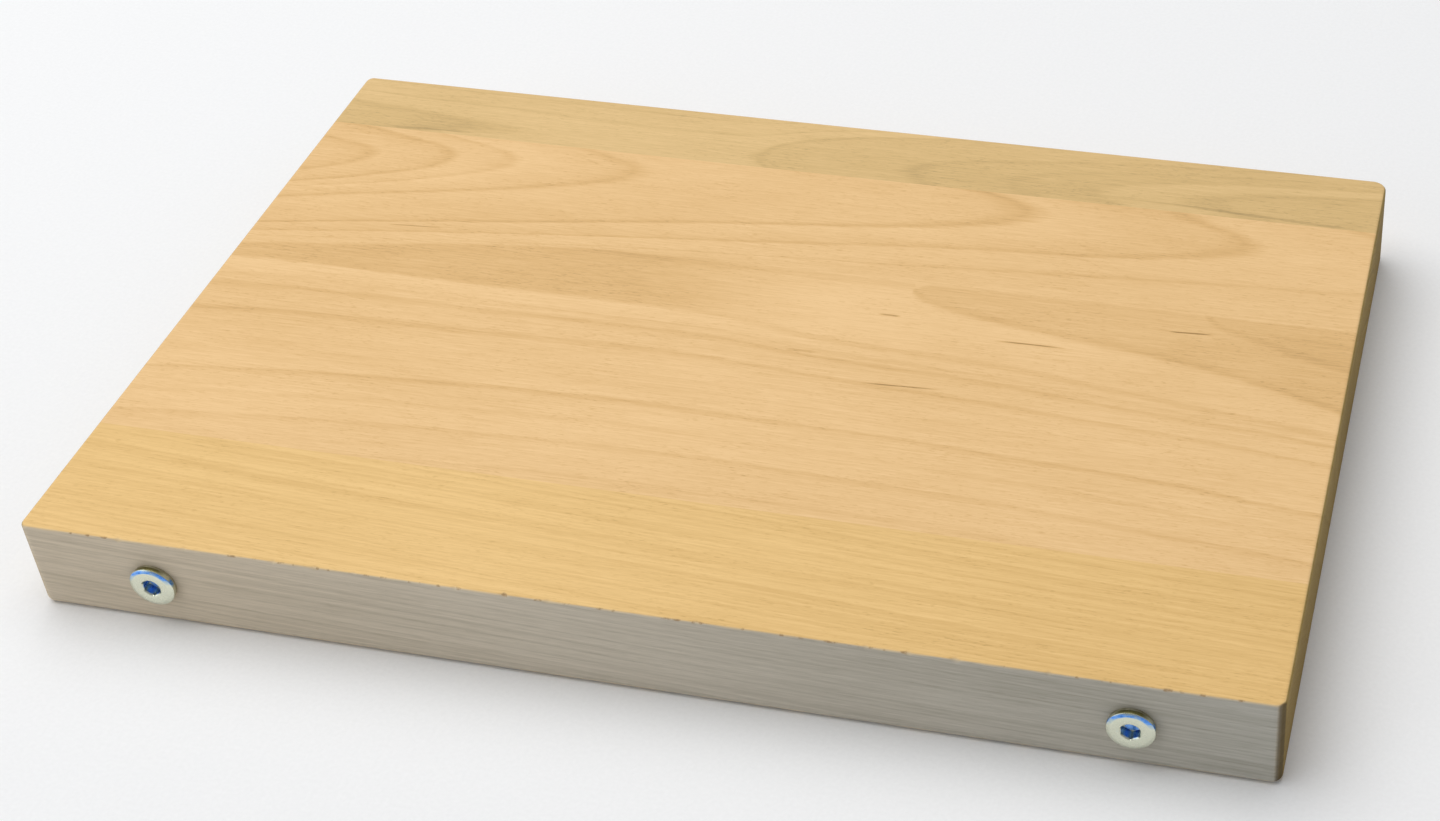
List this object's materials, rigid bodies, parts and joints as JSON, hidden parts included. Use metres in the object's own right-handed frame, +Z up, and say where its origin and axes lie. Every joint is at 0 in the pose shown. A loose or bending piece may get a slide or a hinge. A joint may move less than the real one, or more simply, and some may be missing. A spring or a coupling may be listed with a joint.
{
  "type": "transfer board",
  "caption": "Solid beech transfer board of three glued staves, with two flat-head socket bolts that stand a little out of its front edge.",
  "frame": {"origin": "middle of the underside, below the middle of the top face", "axes": "+X along the board and its grain, +Y from the bolted front edge to the rear edge, +Z up out of the top face"},
  "size_m": [0.36, 0.2426, 0.03],
  "materials": {
    "beech_front": "sanded and oiled beech, yellower than its neighbour",
    "beech_middle": "sanded and oiled beech, pinkish tan with arched grain",
    "beech_rear": "sanded and oiled beech, a little darker",
    "zinc_steel": "bright zinc plate",
    "insert_steel": "dull zinc plate"
  },
  "bodies": {
    "root": {"front_stave": "beech_front", "middle_stave": "beech_middle", "rear_stave": "beech_rear", "left_bolt": "zinc_steel", "right_bolt": "zinc_steel", "left_insert": "insert_steel", "right_insert": "insert_steel"}
  },
  "joints": []
}
